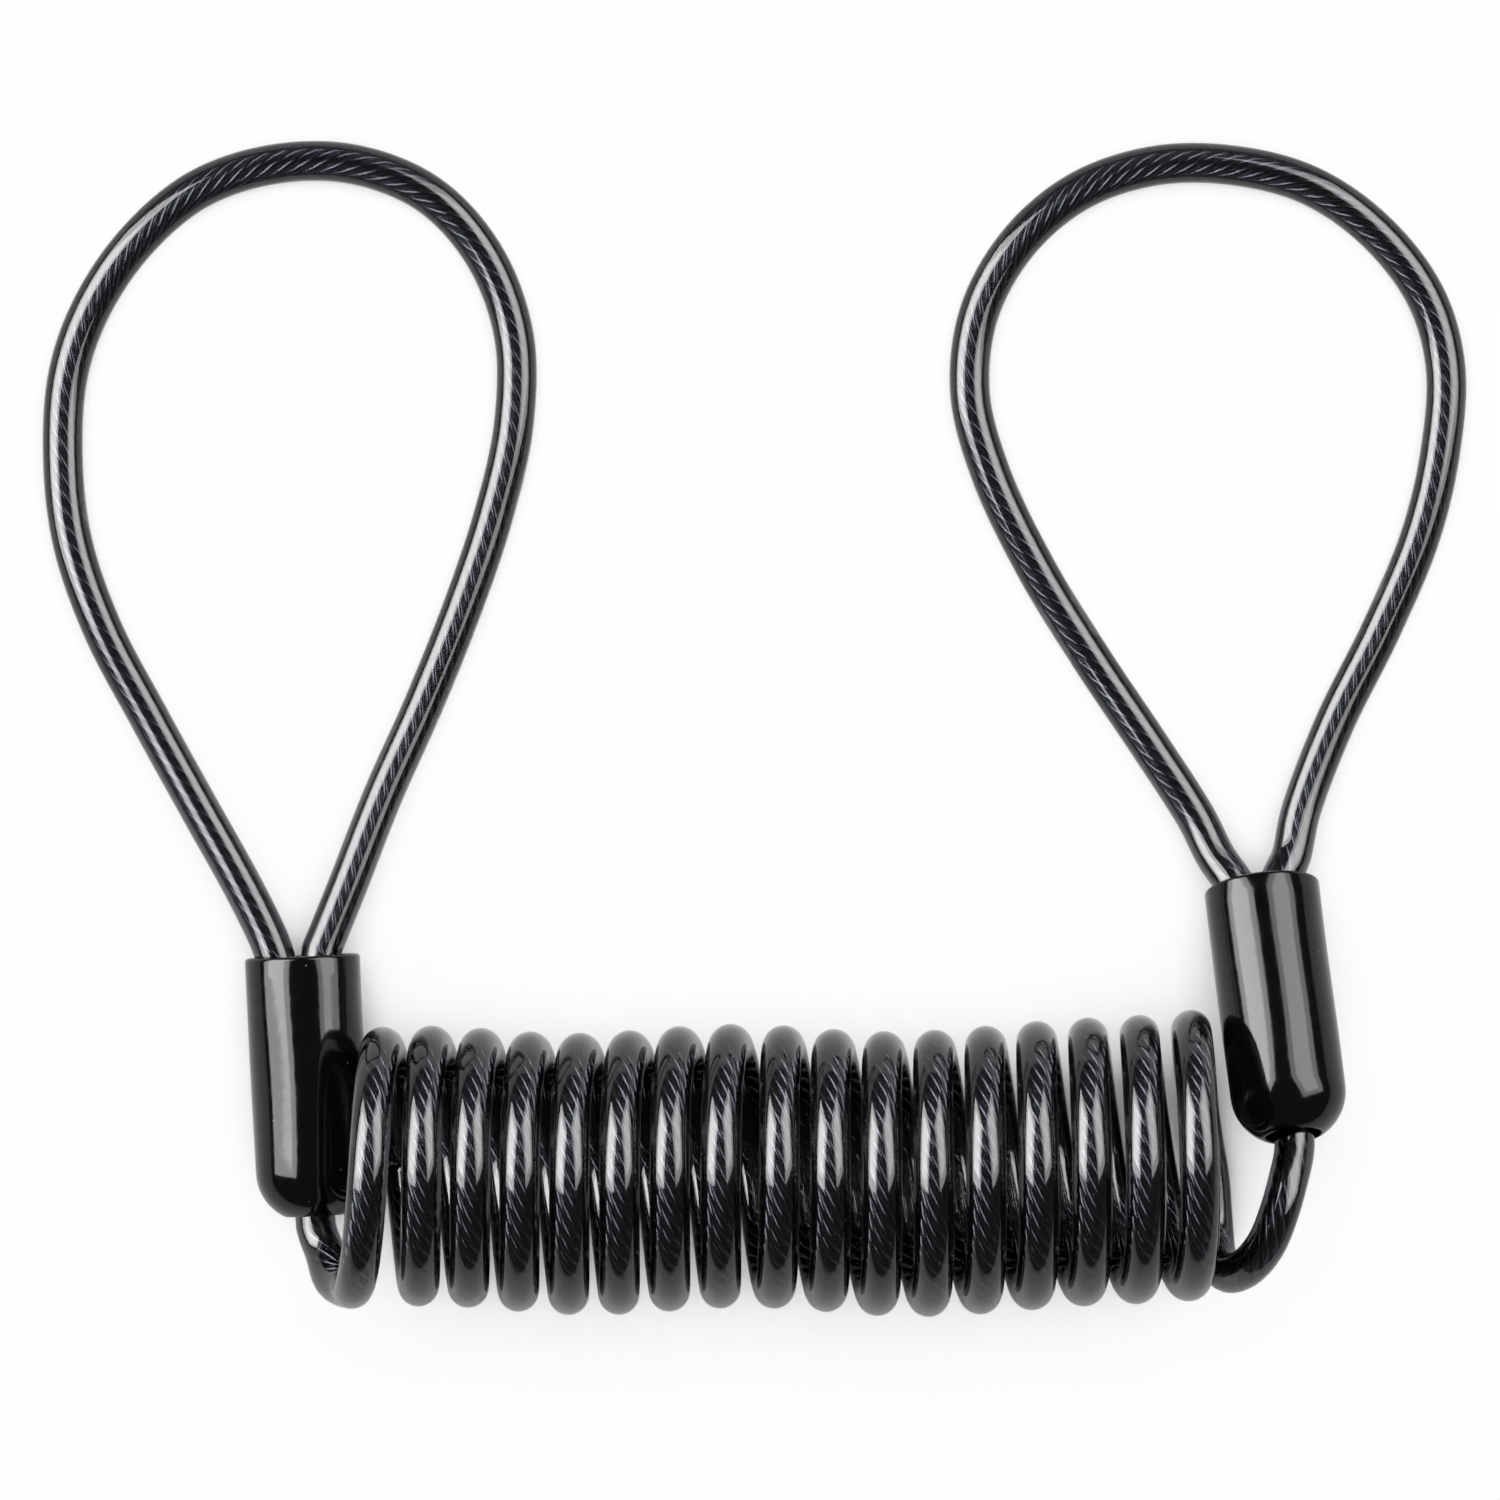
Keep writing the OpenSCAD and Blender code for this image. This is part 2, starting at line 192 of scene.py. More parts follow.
def coil_point(n):
    """Middle of the cable n turns after the first crest: a left-hand helix along +X."""
    r = (TURN_D + TURN_GROWTH * n) / 2
    lean = LEAN_FIRST + (LEAN_LAST - LEAN_FIRST) * n / TURNS
    across, over = math.sin(2 * math.pi * n), math.cos(2 * math.pi * n)
    sway = WANDER * math.cos(2 * math.pi * (n - 1) / WANDER_TURNS)
    drift = DRIFT * max(0.0, (n - DRIFT_FROM) / DRIFT_TURNS) ** 2
    flare = END_FLARE * max(0.0, (FLARE_TO - n) / (2 * FLARE_TO)) ** 2
    tip = (1 + over) / 2 * crest_tip(max(0.0, n))
    return Vector((
        COIL_X + PITCH * n + lean * r * across - flare + tip,
        COIL_Y + sway + drift + r * across,
        r + CABLE_R + r * over,
    ))


def sleeve_place(side):
    """Matrix from a sleeve drawn along -Y from its mouth to where it lies, in millimetres."""
    s = SLEEVES[side]
    turn = Matrix.Rotation(math.radians(s["lean"]), 4, "Z")
    tilt = Matrix.Rotation(math.radians(-s["rise"]), 4, "X")
    return Matrix.Translation(s["mouth"]) @ turn @ tilt


def eye_route(side):
    """An eye's cable from its short end round the loop, and out through the sleeve's closed end."""
    place, s = sleeve_place(side), SLEEVES[side]
    lying = Vector((s["mouth"][0], s["mouth"][1], CABLE_R))
    first = [(LEG_X, -LEG_AFTER, 0), (LEG_X, -LEG_BEFORE, 0), (LEG_X + s["spread"][0], 0, 0)]
    last = [
        (-LEG_X + s["spread"][1], 0, 0),
        (-LEG_X, -LEG_BEFORE, 0),
        (-LEG_X, -LEG_AFTER, 0),
        (-LEG_X / 2, -(LEG_AFTER + CENTRED) / 2, 0),
        (0, -CENTRED, 0),
        (0, -SLEEVE_LEN - STRAIGHT_OUT, 0),
    ]
    return (
        [place @ Vector(p) for p in first]
        + [lying + Vector(p) for p in LOOPS[side]]
        + [place @ Vector(p) for p in last]
    )


def smooth_line(points):
    """A centripetal curve through the points, with LINE_SAMPLES samples for each gap."""
    p = np.array([tuple(q) for q in points])
    p = np.vstack([2 * p[0] - p[1], p, 2 * p[-1] - p[-2]])
    knots = np.concatenate([[0], np.cumsum(np.linalg.norm(np.diff(p, axis=0), axis=1) ** 0.5)])
    line = []
    for i in range(1, len(p) - 2):
        t0, t1, t2, t3 = knots[i - 1 : i + 3]
        p0, p1, p2, p3 = p[i - 1 : i + 3]
        t = np.linspace(t1, t2, LINE_SAMPLES, endpoint=False)[:, None]
        a1 = (t1 - t) / (t1 - t0) * p0 + (t - t0) / (t1 - t0) * p1
        a2 = (t2 - t) / (t2 - t1) * p1 + (t - t1) / (t2 - t1) * p2
        a3 = (t3 - t) / (t3 - t2) * p2 + (t - t2) / (t3 - t2) * p3
        b1 = (t2 - t) / (t2 - t0) * a1 + (t - t0) / (t2 - t0) * a2
        b2 = (t3 - t) / (t3 - t1) * a2 + (t - t1) / (t3 - t1) * a3
        line.append((t2 - t) / (t2 - t1) * b1 + (t - t1) / (t2 - t1) * b2)
    return np.vstack(line + [p[-2][None, :]])


class Cable:
    """The whole cable's middle line, with the distance along it and a frame that doesn't twist."""

    def __init__(self):
        left, right = eye_route("left"), eye_route("right")[::-1]
        count = int((COIL_LAST - COIL_FIRST) * COIL_STEPS)
        self.turns = np.linspace(COIL_FIRST, COIL_LAST, count + 1)
        coil = [coil_point(n) for n in self.turns]
        lead_in = [left[-1] + Vector(q) for q in LEFT_LEAD_OUT]
        lead_in += [coil[0] + Vector(q) for q in LEFT_LEAD_IN]
        lead_out = [coil[-1] + Vector(q) for q in RIGHT_LEAD_IN]
        lead_out += [right[0] + Vector(q) for q in RIGHT_LEAD_OUT]
        self.points = smooth_line(left + lead_in + coil + lead_out + right)
        gaps = np.linalg.norm(np.diff(self.points, axis=0), axis=1)
        self.along = np.concatenate([[0], np.cumsum(gaps)])

        def at(i):
            return self.along[i * LINE_SAMPLES]

        first = len(left) + len(lead_in)
        self.left_exit, self.right_exit = at(len(left) - 1), at(first + len(coil) + len(lead_out))
        self.coil_first, self.coil_last = at(first), at(first + len(coil) - 1)
        self.turn_marks = np.array([at(first + i) for i in range(len(coil))])
        self.end = self.along[-1]
        self._frames()

    def _frames(self):
        """Carries one direction across the cable along it by reflecting it twice at each step."""
        t = np.gradient(self.points, self.along, axis=0)
        t /= np.linalg.norm(t, axis=1)[:, None]
        side = np.cross(t[0], (0, 0, 1))
        self.tangent, self.side = t, np.zeros_like(t)
        self.side[0] = side / np.linalg.norm(side)
        for i in range(len(t) - 1):
            v = self.points[i + 1] - self.points[i]
            c = v @ v
            half = self.side[i] - 2 / c * (v @ self.side[i]) * v
            t_half = t[i] - 2 / c * (v @ t[i]) * v
            w = t[i + 1] - t_half
            self.side[i + 1] = half - 2 / (w @ w + TINY) * (w @ half) * w

    def at_turn(self, n):
        """Distance along the cable at n turns."""
        return float(np.interp(n, self.turns, self.turn_marks))

    def turn_of(self, s):
        """Turns of the coil at distances s along the cable."""
        return np.interp(s, self.turn_marks, self.turns)

    def sample(self, s):
        """Middle points and the two directions across the cable at distances s."""
        def pick(a):
            return np.stack([np.interp(s, self.along, a[:, k]) for k in range(3)], axis=1)

        p, t, a = pick(self.points), pick(self.tangent), pick(self.side)
        t /= np.linalg.norm(t, axis=1)[:, None]
        a -= (a * t).sum(axis=1)[:, None] * t
        a /= np.linalg.norm(a, axis=1)[:, None]
        return p, a, np.cross(t, a)


CABLE = Cable()


def settings():
    return bpy.context.scene.cable_lock


def add_object(name, mesh, material):
    piece = bpy.data.objects.new(name, mesh)
    mesh.materials.append(material)
    bpy.context.collection.objects.link(piece)
    return piece


def swept_mesh(name, lines, radius, sides):
    """Round tubes along the lines, as one mesh. Its points come ring by ring, line by line."""
    curve = bpy.data.curves.new(name, "CURVE")
    curve.dimensions = "3D"
    curve.bevel_depth = radius
    # A resolution of 0 gives a ring of four sides, and each step adds two.
    curve.bevel_resolution = sides // 2 - 2
    for line in lines:
        spline = curve.splines.new("POLY")
        spline.points.add(len(line) - 1)
        spline.points.foreach_set("co", np.hstack([line, np.ones((len(line), 1))]).ravel())
    rod = bpy.data.objects.new(name, curve)
    bpy.context.collection.objects.link(rod)
    graph = bpy.context.evaluated_depsgraph_get()
    mesh = bpy.data.meshes.new_from_object(rod.evaluated_get(graph))
    bpy.data.objects.remove(rod)
    bpy.data.curves.remove(curve)
    if len(mesh.vertices) != sides * sum(len(line) for line in lines):
        raise RuntimeError(f"{name}: a tube has {len(mesh.vertices)} points, which isn't its rings")
    mesh.name = name
    mesh.shade_smooth()
    closed = bmesh.new()
    closed.from_mesh(mesh)
    bmesh.ops.holes_fill(closed, edges=[e for e in closed.edges if e.is_boundary], sides=sides)
    bmesh.ops.recalc_face_normals(closed, faces=closed.faces)
    closed.to_mesh(mesh)
    closed.free()
    return mesh


def write_straight(mesh, distances, radius, sides):
    """Keeps where each point is on the cable laid out straight, in metres, for its pattern."""
    angles = np.arange(sides) * 2 * math.pi / sides
    ring = radius * np.stack([np.cos(angles), np.sin(angles)], axis=1)
    straight = np.zeros((len(distances), sides, 3))
    straight[:, :, :2] = ring
    straight[:, :, 2] = distances[:, None] * MM
    attribute = mesh.attributes.new(STRAIGHT, "FLOAT_VECTOR", "POINT")
    attribute.data.foreach_set("vector", straight.astype(np.float32).ravel())


def coil_share(s):
    """How far along the pulled coil a place is: 0 at its first cut, 1 at its last, and evenly
    between, but for a part of a turn at each end where the pitch opens smoothly."""
    u = np.clip((CABLE.turn_of(s) - CUT_FIRST) / (CUT_LAST - CUT_FIRST), 0, 1)
    ramp = OPENING_TURNS / (CUT_LAST - CUT_FIRST)
    start = u * u / (2 * ramp)
    end = 1 - ramp - (1 - u) ** 2 / (2 * ramp)
    middle = u - ramp / 2
    share = np.where(u < ramp, start, np.where(u > 1 - ramp, end, middle))
    return share / (1 - ramp)


def eased(s, s0, s1):
    """0 up to s0, 1 from s1, and smooth between."""
    t = np.clip((s - s0) / (s1 - s0), 0, 1)
    return t * t * (3 - 2 * t)


def left_lead_share(s):
    return eased(s, CABLE.left_exit, CABLE.coil_first)


def right_lead_share(s):
    return eased(s, CABLE.coil_last, CABLE.right_exit)


STRETCHES = {
    # name: first and last place along the cable, bodies, how it moves between them, lay
    "left_eye": (END_INSET, CABLE.left_exit - CUT_INSIDE, ("left_eye",), None, "loose"),
    "left_lead": (
        CABLE.left_exit - CUT_INSIDE, CABLE.at_turn(CUT_FIRST), ("left_eye", "coil"),
        left_lead_share, "loose",
    ),
    "coil": (
        CABLE.at_turn(CUT_FIRST), CABLE.at_turn(CUT_LAST), ("coil", "right_lead"),
        coil_share, "coiled",
    ),
    "right_lead": (
        CABLE.at_turn(CUT_LAST), CABLE.right_exit + CUT_INSIDE, ("right_lead", "right_eye"),
        right_lead_share, "loose",
    ),
    "right_eye": (
        CABLE.right_exit + CUT_INSIDE, CABLE.end - END_INSET, ("right_eye",), None, "loose",
    ),
}


def set_moving(piece, distances, sides, bodies, share):
    """Rides one body when it has only one. A piece between two bodies is only fixed in place in the
    world, and the share of its ring, which would keep the cable round when the coil is pulled or a
    lead bends, is worked out for every point but not put on the piece."""
    if share is None:
        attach(piece, bodies[0])
        return
    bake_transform(piece)
    shares = np.repeat(share(distances), sides).astype(np.float32)


def make_stretch(name):
    """One stretch of the cable: the strands of its wire rope, and the jacket over them."""
    s0, s1, bodies, share, lay = STRETCHES[name]
    sizes = settings()
    strand_d = sizes.rope_d / MM / STRANDS_ACROSS
    s = np.linspace(s0, s1, int((s1 - s0) / RING_STEP) + 1)
    middle, a, b = CABLE.sample(s)
    lines, places = [middle * MM], [s]
    for k in range(OUTER_STRANDS):
        turn = -2 * math.pi * s * MM / sizes.lay_length + k * 2 * math.pi / OUTER_STRANDS
        out = np.cos(turn)[:, None] * a + np.sin(turn)[:, None] * b
        lines.append((middle + strand_d * out) * MM)
        places.append(s)
    places = np.concatenate(places)
    mesh = swept_mesh(f"{name}_strands", lines, strand_d / 2 * MM, STRAND_SIDES)
    write_straight(mesh, places, strand_d / 2 * MM, STRAND_SIDES)
    strands = add_object(f"{name}_strands", mesh, steel_wire())
    set_moving(strands, places, STRAND_SIDES, bodies, share)
    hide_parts(f"{name}_rope")

    mesh = swept_mesh(f"{name}_tube", [middle * MM], sizes.cable_d / 2, JACKET_SIDES)
    write_straight(mesh, s, sizes.cable_d / 2, JACKET_SIDES)
    jacket = add_object(f"{name}_tube", mesh, smoke_pvc())
    set_moving(jacket, s, JACKET_SIDES, bodies, share)
    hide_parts(f"{name}_jacket")


def add_node(tree, kind, inputs=None, **options):
    """Adds one node with its options, and sets or links the inputs that are named."""
    node = tree.nodes.new(kind)
    for key, value in options.items():
        setattr(node, key, value)
    for key, value in (inputs or {}).items():
        if isinstance(value, bpy.types.NodeSocket):
            tree.links.new(value, node.inputs[key])
        else:
            node.inputs[key].default_value = value
    return node


def stretched(tree, place, scale):
    """Coordinates squeezed by the scale, so that a pattern on them is drawn out."""
    return add_node(
        tree, "ShaderNodeMapping", {"Vector": place, "Scale": scale}
    ).outputs["Vector"]


def noise(tree, place, size, detail):
    """Noise of a size in metres."""
    return add_node(
        tree, "ShaderNodeTexNoise", {"Vector": place, "Scale": 1 / size, "Detail": detail}
    ).outputs["Fac"]


def roughness(tree, value, low, high):
    """Roughness from low to high where a noise goes through its usual range."""
    return add_node(
        tree, "ShaderNodeMapRange",
        {"Value": value, "From Min": 0.3, "From Max": 0.7, "To Min": low, "To Max": high},
    ).outputs["Result"]


def relief(tree, height, strength, depth):
    """Normals of a relief of a depth in metres."""
    return add_node(
        tree, "ShaderNodeBump", {"Height": height, "Strength": strength, "Distance": depth}
    ).outputs["Normal"]


def new_material(name):
    """A material with only its output, or the one that was made before without its tree."""
    found = bpy.data.materials.get(name)
    if found:
        return found, None, None
    material = bpy.data.materials.new(name)
    material.use_nodes = True
    tree = material.node_tree
    tree.nodes.clear()
    return material, tree, tree.nodes.new("ShaderNodeOutputMaterial")


def smoke_pvc():
    """Plasticised PVC, extruded over the rope and tinted smoke black. It is clear enough to show
    the strands, its edge lets the pale surroundings through, and the die leaves faint streaks
    along it."""
    material, tree, output = new_material("smoke_pvc_extruded")
    if tree is None:
        return material
    straight = add_node(tree, "ShaderNodeAttribute", attribute_name=STRAIGHT).outputs["Vector"]
    # Die streaks of about half a millimetre, drawn out along the cable.
    streaks = noise(tree, stretched(tree, straight, (1, 1, 0.06)), 0.6 * MM, 3.0)
    glass = add_node(
        tree, "ShaderNodeBsdfPrincipled",
        {
            "Base Color": (*settings().jacket_colour, 1),
            "Roughness": roughness(tree, streaks, 0.05, 0.12),
            "IOR": 1.53,
            "Transmission Weight": 1.0,
            "Normal": relief(tree, streaks, 0.25, 0.01 * MM),
        },
    )
    # Lamps reach the strands straight through the jacket, tinted by it.
    clear = add_node(tree, "ShaderNodeBsdfTransparent", {"Color": (*settings().jacket_shade, 1)})
    path = add_node(tree, "ShaderNodeLightPath")
    mixed = add_node(
        tree, "ShaderNodeMixShader",
        {0: path.outputs["Is Shadow Ray"], 1: glass.outputs[0], 2: clear.outputs[0]},
    )
    tree.links.new(mixed.outputs[0], output.inputs["Surface"])
    return material


def steel_wire():
    """Drawn galvanised steel wire, laid up in strands. Each strand shows one thin bright line
    along its crown, and the rest of it stays dark."""
    material, tree, output = new_material("galvanised_steel_wire")
    if tree is None:
        return material
    straight = add_node(tree, "ShaderNodeAttribute", attribute_name=STRAIGHT).outputs["Vector"]
    # Wires of 0.23 mm, drawn as streaks along the strand.
    wires = noise(tree, stretched(tree, straight, (1, 1, 0.15)), 0.23 * MM, 2.0)
    metal = add_node(
        tree, "ShaderNodeBsdfPrincipled",
        {
            "Base Color": (*settings().rope_colour, 1),
            "Metallic": 1.0,
            "Roughness": 0.16,
            "Normal": relief(tree, wires, 0.3, 0.02 * MM),
        },
    )
    tree.links.new(metal.outputs[0], output.inputs["Surface"])
    return material


def dipped_vinyl():
    """Plasticised black vinyl, dip-moulded. It is glossy with a very slight orange peel, and holds
    a few specks of dust."""
    material, tree, output = new_material("black_vinyl_dip_moulded")
    if tree is None:
        return material
    place = add_node(tree, "ShaderNodeTexCoord").outputs["Object"]
    # Orange peel of 1.5 mm, and fine specks of dust about every two millimetres.
    peel = noise(tree, place, 1.5 * MM, 2.0)
    cells = add_node(
        tree, "ShaderNodeTexVoronoi", {"Vector": place, "Scale": 1 / (2.2 * MM), "Randomness": 1.0}
    ).outputs["Distance"]
    speck = add_node(
        tree, "ShaderNodeMapRange",
        {"Value": cells, "From Min": 0.045, "From Max": 0.03, "To Min": 0.0, "To Max": 1.0},
    ).outputs["Result"]
    # Of a colour mix, inputs 6 and 7 are the two colours, and output 2 is the result.
    colour = add_node(
        tree, "ShaderNodeMix",
        {"Factor": speck, 6: (*settings().sleeve_colour, 1), 7: (*DUST_COLOUR, 1)},
        data_type="RGBA",
    ).outputs[2]
    vinyl = add_node(
        tree, "ShaderNodeBsdfPrincipled",
        {
            "Base Color": colour,
            "Roughness": roughness(tree, peel, 0.07, 0.14),
            "IOR": 1.54,
            "Specular IOR Level": 0.3,
            "Normal": relief(tree, peel, 0.3, 0.03 * MM),
        },
    )
    tree.links.new(vinyl.outputs[0], output.inputs["Surface"])
    return material


def crimped_aluminium():
    """Extruded aluminium, crimped in a die: satin, with faint drawing lines along it."""
    material, tree, output = new_material("aluminium_crimped")
    if tree is None:
        return material
    place = add_node(tree, "ShaderNodeTexCoord").outputs["Object"]
    grain = noise(tree, stretched(tree, place, (1, 0.08, 1)), 0.3 * MM, 3.0)
    metal = add_node(
        tree, "ShaderNodeBsdfPrincipled",
        {
            "Base Color": (*settings().ferrule_colour, 1),
            "Metallic": 1.0,
            "Roughness": roughness(tree, grain, 0.3, 0.45),
            "Normal": relief(tree, grain, 0.2, 0.02 * MM),
        },
    )
    tree.links.new(metal.outputs[0], output.inputs["Surface"])
    return material


def white_card():
    """Matt white card. Looked at straight or through the jacket it is nearly white, and it keeps
    the object's shadow."""
    material, tree, output = new_material("white_card_matt")
    if tree is None:
        return material
    card = add_node(tree, "ShaderNodeBsdfDiffuse", {"Color": (*CARD_COLOUR, 1)})
    bright = add_node(tree, "ShaderNodeEmission", {"Color": WHITE, "Strength": 1.0})
    path = add_node(tree, "ShaderNodeLightPath")
    seen = add_node(
        tree, "ShaderNodeMath",
        {0: path.outputs["Is Camera Ray"], 1: path.outputs["Is Transmission Ray"]},
        operation="MAXIMUM",
    ).outputs[0]
    # Where the card lies open, most of what is seen is plain white, and the rest takes light and
    # shadow. Deep between the coil's turns all of it takes light and shadow.
    open_sky = add_node(
        tree, "ShaderNodeAmbientOcclusion", {"Distance": 20 * MM}, samples=6
    ).outputs["AO"]
    in_open = add_node(
        tree, "ShaderNodeMapRange",
        {"Value": open_sky, "From Min": 0.33, "From Max": 0.5, "To Min": 0.0, "To Max": 0.93},
    ).outputs["Result"]
    share = add_node(
        tree, "ShaderNodeMath", {0: seen, 1: in_open}, operation="MULTIPLY"
    ).outputs[0]
    mixed = add_node(
        tree, "ShaderNodeMixShader", {0: share, 1: card.outputs[0], 2: bright.outputs[0]}
    )
    tree.links.new(mixed.outputs[0], output.inputs["Surface"])
    return material


def sleeve_outline():
    """Half of a sleeve cut lengthwise, as (distance from its axis, place along it)."""
    wall = SLEEVE_R - SLEEVE_IN_R
    rim = wall / 2
    round_x = SLEEVE_R - SLEEVE_ROUND
    lip = SLEEVE_HOLE_R - round_x
    round_y = math.sqrt(SLEEVE_ROUND**2 - lip**2) - SLEEVE_LEN

    def arc(r, steps):
        last = math.acos(lip / r)
        return [
            (round_x + r * math.cos(last * i / steps), round_y - r * math.sin(last * i / steps))
            for i in range(steps + 1)
        ]

    rim_turns = [math.pi * i / RIM_STEPS for i in range(RIM_STEPS + 1)]
    rounded_rim = [
        (SLEEVE_IN_R + rim - rim * math.cos(turn), -rim + rim * math.sin(turn))
        for turn in rim_turns
    ]
    body = [
        (SLEEVE_R, -rim + (round_y + rim) * i / BODY_STEPS) for i in range(1, BODY_STEPS)
    ]
    bore = [(SLEEVE_IN_R, y) for _, y in body[::-1]]
    inner_round = arc(SLEEVE_ROUND - wall, INNER_ROUND_STEPS)[::-1]
    return rounded_rim + body + arc(SLEEVE_ROUND, ROUND_STEPS) + inner_round + bore


def make_sleeve(side):
    """A dip-moulded cap: its outline spun round its axis, and eased at the lip of its hole."""
    shape = bmesh.new()
    outline = [shape.verts.new((r, y, 0)) for r, y in sleeve_outline()]
    edges = [shape.edges.new((outline[i - 1], outline[i])) for i in range(len(outline))]
    bmesh.ops.spin(
        shape, geom=outline + edges, cent=(0, 0, 0), axis=(0, 1, 0), angle=2 * math.pi,
        steps=SPIN_STEPS, use_merge=True,
    )
    bmesh.ops.remove_doubles(shape, verts=shape.verts, dist=WELD)
    lip = [
        e for e in shape.edges if len(e.link_faces) == 2 and e.calc_face_angle() > LIP_ANGLE
    ]
    bmesh.ops.bevel(
        shape, geom=lip, offset=LIP_EDGE, segments=LIP_STEPS, profile=0.5, affect="EDGES",
        material=-1,
    )
    for v in shape.verts:
        turn, along = math.atan2(v.co.z, v.co.x), v.co.y
        swell = OVAL * math.sin(2 * turn + OVAL_TURN) * math.sin(OVAL_RATE * along)
        swell += THREE_SIDED * math.sin(3 * turn + THREE_SIDED_RATE * along)
        out = Vector((v.co.x, 0, v.co.z)).normalized()
        v.co += out * swell
    bmesh.ops.transform(
        shape, matrix=Matrix.Scale(MM, 4) @ sleeve_place(side), verts=shape.verts
    )
    bmesh.ops.recalc_face_normals(shape, faces=shape.faces)
    mesh = bpy.data.meshes.new(f"{side}_cap")
    shape.to_mesh(mesh)
    shape.free()
    mesh.shade_smooth()
    piece = add_object(f"{side}_cap", mesh, dipped_vinyl())
    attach(piece, f"{side}_eye")
    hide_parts(f"{side}_sleeve")


def add_camera(scene):
    camera = bpy.data.cameras.new("camera")
    camera.sensor_fit, camera.sensor_width = "HORIZONTAL", SENSOR_MM
    camera.lens = SENSOR_MM * CAMERA_MM / SEEN_MM
    camera.clip_start, camera.clip_end = CLIP_NEAR, CLIP_FAR
    view = bpy.data.objects.new("camera", camera)
    view.location = (CAMERA_X, CAMERA_Y, CAMERA_MM * MM)
    scene.collection.objects.link(view)
    scene.camera = view


def add_floor():
    floor = bmesh.new()
    bmesh.ops.create_grid(
        floor, x_segments=FLOOR_CELLS, y_segments=FLOOR_CELLS, size=FLOOR_HALF
    )
    mesh = bpy.data.meshes.new("floor")
    floor.to_mesh(mesh)
    floor.free()
    add_object("floor", mesh, white_card())


def add_lamps(scene):
    for name, radiance, down, round_, away, size, seen in LAMPS:
        lamp = bpy.data.lights.new(name, "AREA")
        lamp.shape = "RECTANGLE"
        lamp.size, lamp.size_y = size
        lamp.energy = radiance * math.pi * size[0] * size[1]
        box = bpy.data.objects.new(name, lamp)
        down, round_ = math.radians(down), math.radians(round_)
        box.location = away * Vector((
            math.sin(down) * math.cos(round_), math.sin(down) * math.sin(round_), math.cos(down),
        ))
        towards = Vector((0, 0, 0)) - box.location
        box.rotation_euler = towards.to_track_quat("-Z", "Y").to_euler()
        box.visible_camera = False
        box.visible_diffuse = seen == "matt"
        box.visible_glossy = seen == "gloss"
        box.visible_transmission = seen == "gloss"
        scene.collection.objects.link(box)


def add_room(scene):
    """White where it is looked at straight, and a dim room in reflections and for light."""
    world = bpy.data.worlds.new("room")
    world.use_nodes = True
    tree = world.node_tree
    tree.nodes.clear()
    path = add_node(tree, "ShaderNodeLightPath")
    strength = add_node(
        tree, "ShaderNodeMapRange",
        {"Value": path.outputs["Is Camera Ray"], "To Min": ROOM_DIM, "To Max": ROOM_SEEN},
    ).outputs["Result"]
    sky = add_node(tree, "ShaderNodeBackground", {"Color": WHITE, "Strength": strength})
    out = tree.nodes.new("ShaderNodeOutputWorld")
    tree.links.new(sky.outputs[0], out.inputs["Surface"])
    scene.world = world


class CableLockSettings(bpy.types.PropertyGroup):
    """Sizes and colours of the cable lock."""

    cable_d: bpy.props.FloatProperty(
        name="Cable diameter", description="Diameter over the jacket",
        default=2 * CABLE_R * MM, min=0.0032, max=0.005, unit="LENGTH",
    )
    rope_d: bpy.props.FloatProperty(
        name="Rope diameter", description="Diameter of the wire rope inside the jacket",
        default=2.1 * MM, min=0.0015, max=0.0026, unit="LENGTH",
    )
    lay_length: bpy.props.FloatProperty(
        name="Lay length", description="Length of rope in which a strand goes round once",
        default=10.5 * MM, min=0.006, max=0.02, unit="LENGTH",
    )
    jacket_colour: bpy.props.FloatVectorProperty(
        name="Jacket", description="Smoke tint of the jacket",
        default=linear("#48484c"), size=3, min=0, max=1, subtype="COLOR",
    )
    jacket_shade: bpy.props.FloatVectorProperty(
        name="Jacket shade", description="Share of the lamps' light that passes the jacket's wall",
        default=linear("#8c8c90"), size=3, min=0, max=1, subtype="COLOR",
    )
    rope_colour: bpy.props.FloatVectorProperty(
        name="Rope", description="Colour of the steel wire",
        default=linear("#9a9da2"), size=3, min=0, max=1, subtype="COLOR",
    )
    sleeve_colour: bpy.props.FloatVectorProperty(
        name="Sleeves", description="Colour of the vinyl sleeves",
        default=linear("#060607"), size=3, min=0, max=1, subtype="COLOR",
    )
    ferrule_colour: bpy.props.FloatVectorProperty(
        name="Ferrules", description="Colour of the aluminium ferrules",
        default=linear("#c8cacc"), size=3, min=0, max=1, subtype="COLOR",
    )


class CABLELOCK_OT_stage(bpy.types.Operator):
    """Sets up the camera, the floor, the lamps and the room"""

    bl_idname = "cable_lock.stage"
    bl_label = "Stage"

    def execute(self, context):
        scene = context.scene
        scene.view_settings.view_transform = "Standard"
        add_camera(scene)
        add_floor()
        add_lamps(scene)
        add_room(scene)
        return {"FINISHED"}


class CABLELOCK_OT_coil(bpy.types.Operator):
    """Makes the coil: its strands and its jacket"""

    bl_idname = "cable_lock.coil"
    bl_label = "Coil"

    def execute(self, context):
        make_stretch("coil")
        return {"FINISHED"}


class CABLELOCK_OT_leads(bpy.types.Operator):
    """Makes the two leads between the coil and the eyes"""

    bl_idname = "cable_lock.leads"
    bl_label = "Leads"

    def execute(self, context):
        make_stretch("left_lead")
        make_stretch("right_lead")
        return {"FINISHED"}


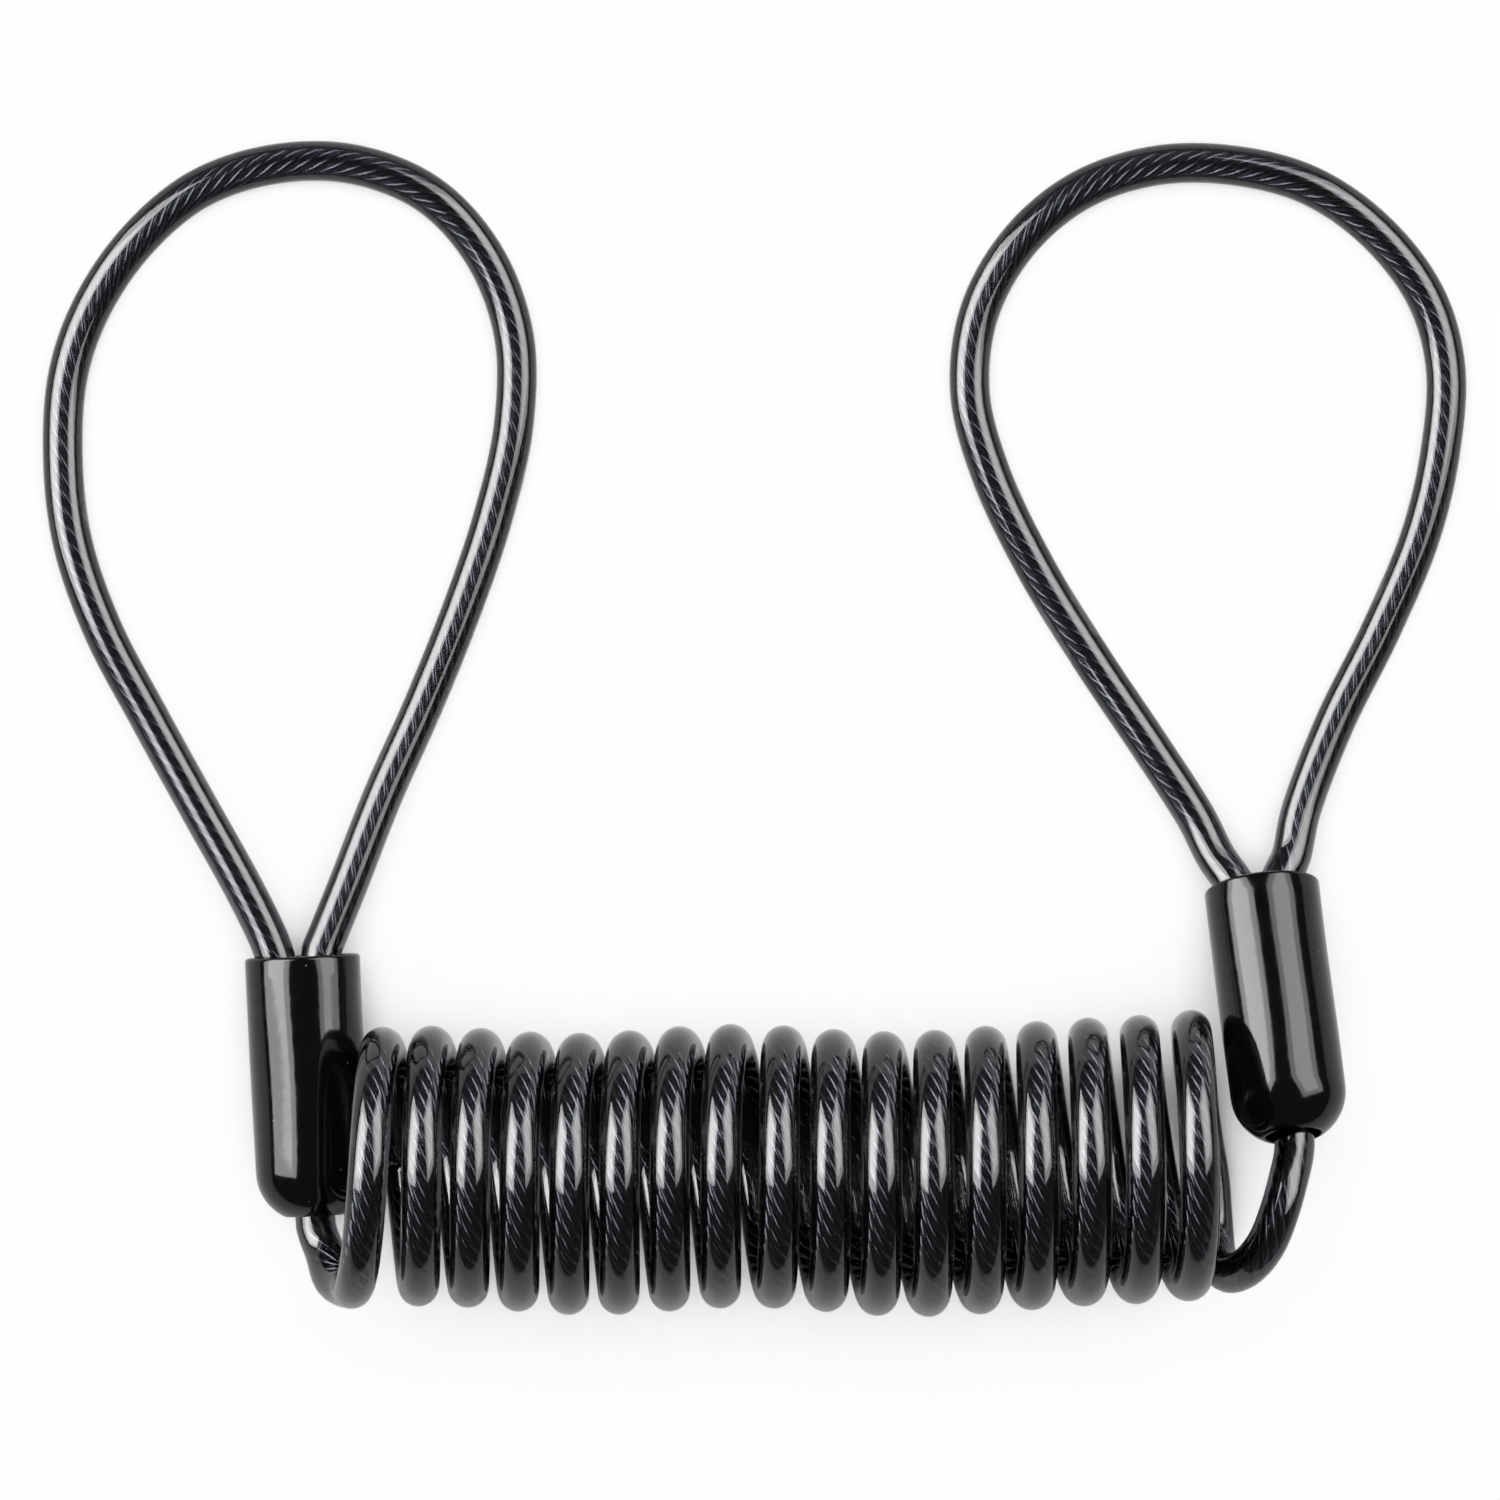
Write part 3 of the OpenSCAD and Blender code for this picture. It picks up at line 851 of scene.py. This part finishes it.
class CABLELOCK_OT_eyes(bpy.types.Operator):
    """Makes the cable of the two eyes"""

    bl_idname = "cable_lock.eyes"
    bl_label = "Eyes"

    def execute(self, context):
        make_stretch("left_eye")
        make_stretch("right_eye")
        return {"FINISHED"}


class CABLELOCK_OT_sleeves(bpy.types.Operator):
    """Makes the two vinyl sleeves"""

    bl_idname = "cable_lock.sleeves"
    bl_label = "Sleeves"

    def execute(self, context):
        make_sleeve("left")
        make_sleeve("right")
        return {"FINISHED"}


class CABLELOCK_OT_ferrules(bpy.types.Operator):
    """Gives the two ferrules their crimped aluminium"""

    bl_idname = "cable_lock.ferrules"
    bl_label = "Ferrules"

    def execute(self, context):
        for side in SLEEVES:
            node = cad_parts[f"{side}_ferrule"]
            node.data.materials.clear()
            node.data.materials.append(crimped_aluminium())
        return {"FINISHED"}


class CABLELOCK_PT_panel(bpy.types.Panel):
    """Sizes, colours and pieces of the cable lock"""

    bl_idname = "CABLELOCK_PT_panel"
    bl_label = "Cable lock"
    bl_space_type = "VIEW_3D"
    bl_region_type = "UI"
    bl_category = "Cable lock"

    def draw(self, context):
        layout = self.layout
        for key in CableLockSettings.__annotations__:
            layout.prop(context.scene.cable_lock, key)
        for operator in OPERATORS:
            layout.operator(operator.bl_idname)


OPERATORS = (
    CABLELOCK_OT_stage, CABLELOCK_OT_coil, CABLELOCK_OT_leads, CABLELOCK_OT_eyes,
    CABLELOCK_OT_sleeves, CABLELOCK_OT_ferrules,
)
CLASSES = (CableLockSettings, *OPERATORS, CABLELOCK_PT_panel)


def register():
    for cls in CLASSES:
        bpy.utils.register_class(cls)
    bpy.types.Scene.cable_lock = bpy.props.PointerProperty(type=CableLockSettings)


def unregister():
    del bpy.types.Scene.cable_lock
    for cls in reversed(CLASSES):
        bpy.utils.unregister_class(cls)


def main():
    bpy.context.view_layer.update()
    register()
    bpy.ops.cable_lock.stage()
    bpy.ops.cable_lock.coil()
    bpy.ops.cable_lock.leads()
    bpy.ops.cable_lock.eyes()
    bpy.ops.cable_lock.sleeves()
    bpy.ops.cable_lock.ferrules()


if __name__ == "__main__":
    main()
